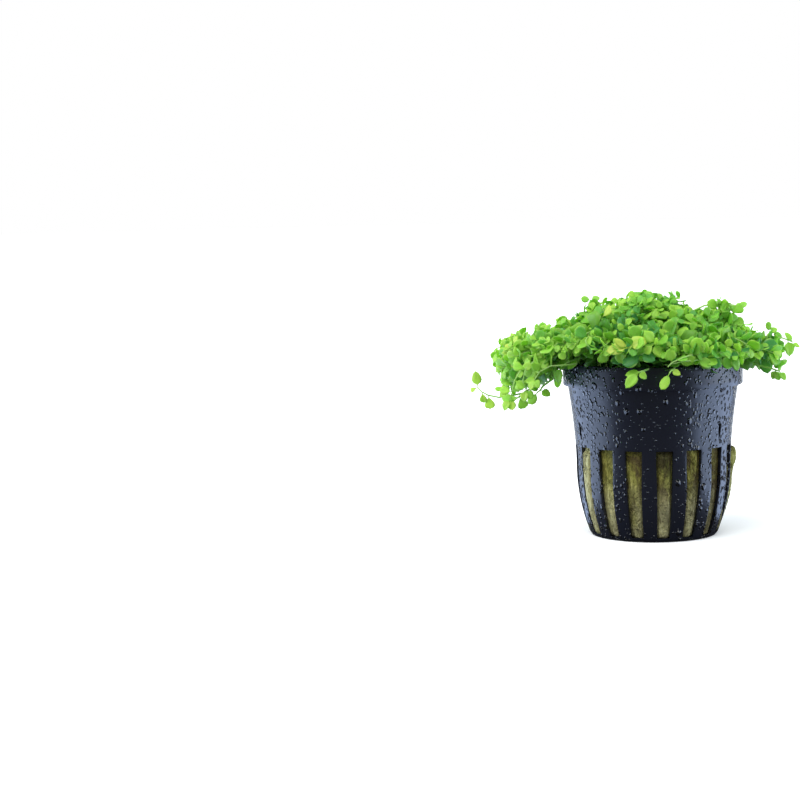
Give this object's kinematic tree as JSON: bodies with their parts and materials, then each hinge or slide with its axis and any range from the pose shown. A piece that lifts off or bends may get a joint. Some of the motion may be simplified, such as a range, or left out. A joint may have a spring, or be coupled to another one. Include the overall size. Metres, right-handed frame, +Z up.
{
  "type": "potted monte carlo carpet plant",
  "caption": "Bushy carpet plant with small round leaves on thin trailing stems, rooted in a rockwool plug in a round slotted net pot with a plain collar.",
  "frame": {"origin": "middle of the pot's base, on the surface that it stands on", "axes": "+Z up along the pot's axis, -Y towards the side that is seen, +X to its right"},
  "size_m": [0.0939, 0.0704, 0.0703],
  "materials": {
    "pot": "dark navy moulded plastic, satin, wet with fine beads",
    "wool": "wet olive-brown mineral fibre with a green algae tint",
    "tuft": "bright green leaf with a soft waxy sheen",
    "shoot": "young yellow-green leaf and pale stem"
  },
  "bodies": {
    "root": {"net_pot": "pot", "rockwool_plug": "wool", "tuft_centre": "tuft", "tuft_middle_01": "tuft", "tuft_middle_02": "tuft", "tuft_middle_03": "tuft", "tuft_middle_04": "tuft", "tuft_middle_05": "tuft", "tuft_outer_01": "tuft", "tuft_outer_02": "tuft", "tuft_outer_03": "tuft", "tuft_outer_04": "tuft", "tuft_outer_05": "tuft", "tuft_outer_06": "tuft", "tuft_outer_07": "tuft", "tuft_outer_08": "tuft", "tuft_outer_09": "tuft", "tuft_outer_10": "tuft", "shoot_left_trailing": "shoot", "shoot_left_hanging": "shoot", "shoot_left_inner": "shoot", "shoot_upper_left": "shoot", "shoot_upper_right": "shoot", "shoot_right_sprig": "shoot", "shoot_right_hanging": "shoot", "shoot_front_left": "shoot", "shoot_front_middle": "shoot", "shoot_back_left": "shoot", "shoot_back_middle": "shoot", "shoot_back_right": "shoot"}
  },
  "joints": []
}
